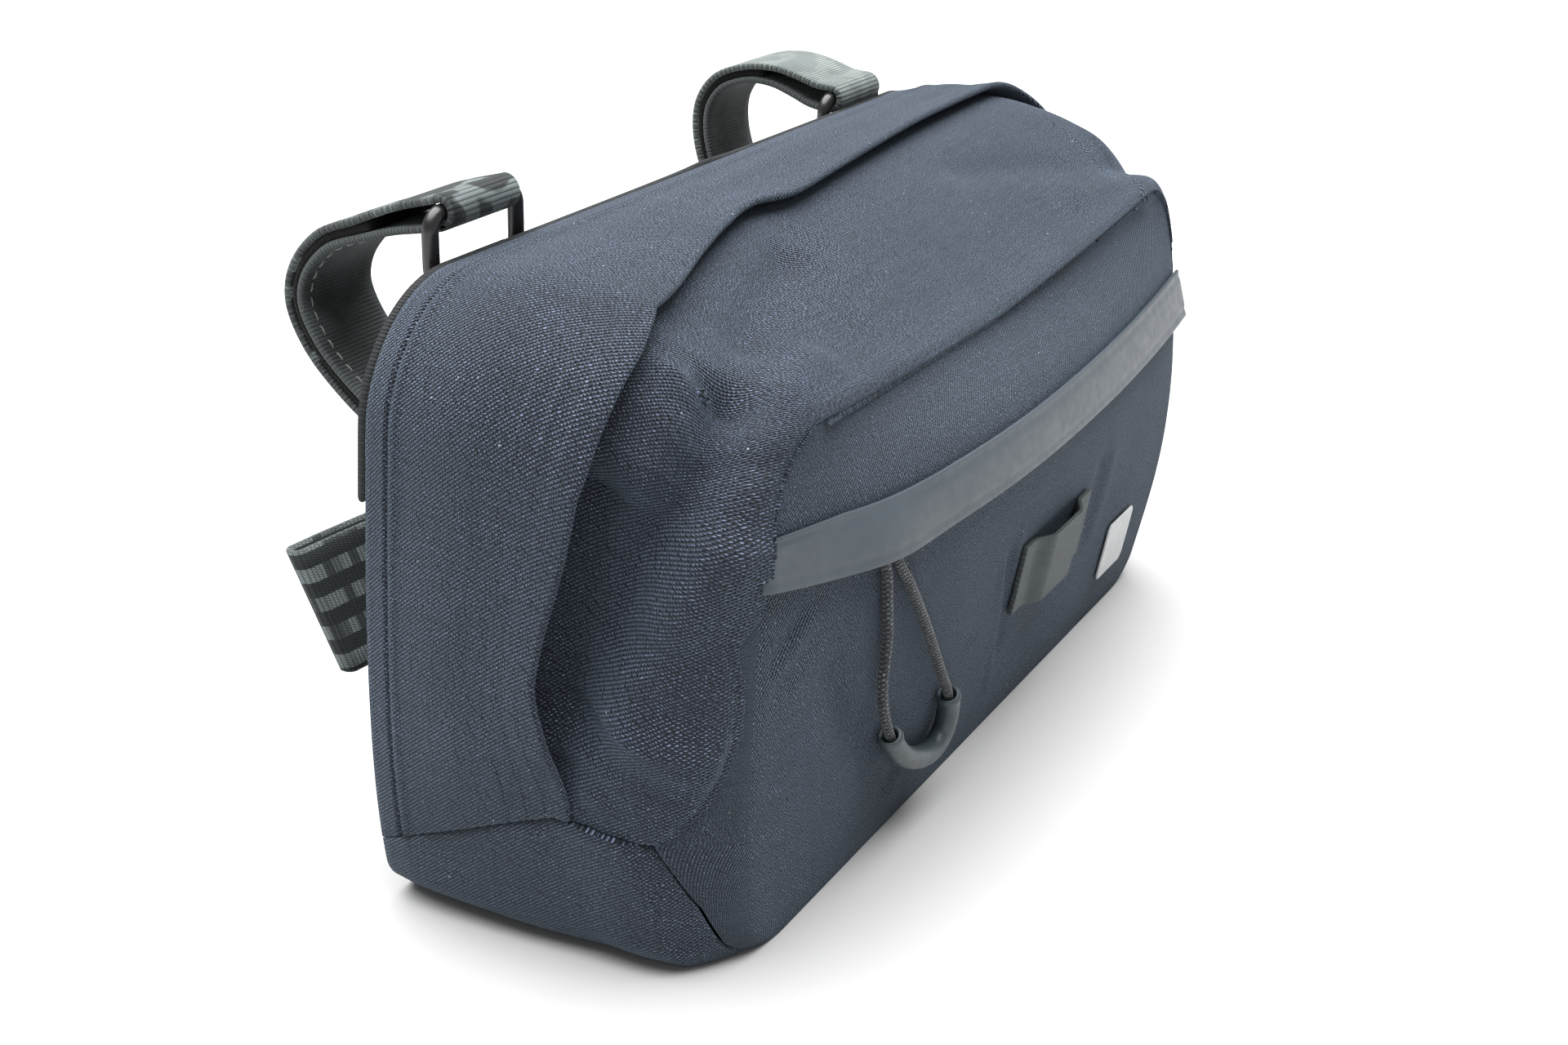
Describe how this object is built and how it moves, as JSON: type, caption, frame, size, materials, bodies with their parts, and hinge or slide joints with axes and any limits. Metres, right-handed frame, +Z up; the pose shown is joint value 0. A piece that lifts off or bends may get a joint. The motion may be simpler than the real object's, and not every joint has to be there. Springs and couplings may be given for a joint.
{
  "type": "bicycle handlebar bag",
  "caption": "Soft boxy zipped bag with a hood band, covered front zip, cord pull, light loop and webbing straps through wire rings for a handlebar.",
  "frame": {"origin": "middle of the flat base that the bag stands on, half way between the back panel and the front seam", "axes": "+Z up, the zipped front faces -Y, the straps are on the +Y side, +X is right seen from the front"},
  "size_m": [0.2915, 0.1528, 0.157],
  "materials": {
    "fabric": "coarse plain weave, matt, dark navy",
    "zip_cover": "smooth matt rubbery film, grey-green",
    "webbing": "ribbed black webbing",
    "camo_webbing": "ribbed grosgrain webbing in black and greys",
    "loop_webbing": "soft dark grey webbing",
    "cord": "braided round cord, dark grey with light flecks",
    "grip_plastic": "satin grey-black moulded plastic",
    "ring_metal": "black coated wire, satin",
    "patch": "pale plain patch"
  },
  "bodies": {
    "root": {"back_panel": "fabric", "strap_panel": "webbing", "hood": "fabric", "gusset": "fabric", "base_panel": "fabric", "front_lower": "fabric", "front_upper": "fabric", "zip_cover": "zip_cover", "zip_tape": "webbing", "zip_slider": "ring_metal", "pull_cord": "cord", "pull_grip": "grip_plastic", "light_loop": "loop_webbing", "plain_patch": "patch", "lower_strap": "camo_webbing", "ring_left": "ring_metal", "anchor_left": "webbing", "strap_left": "camo_webbing", "ring_right": "ring_metal", "anchor_right": "webbing", "strap_right": "camo_webbing"}
  },
  "joints": []
}
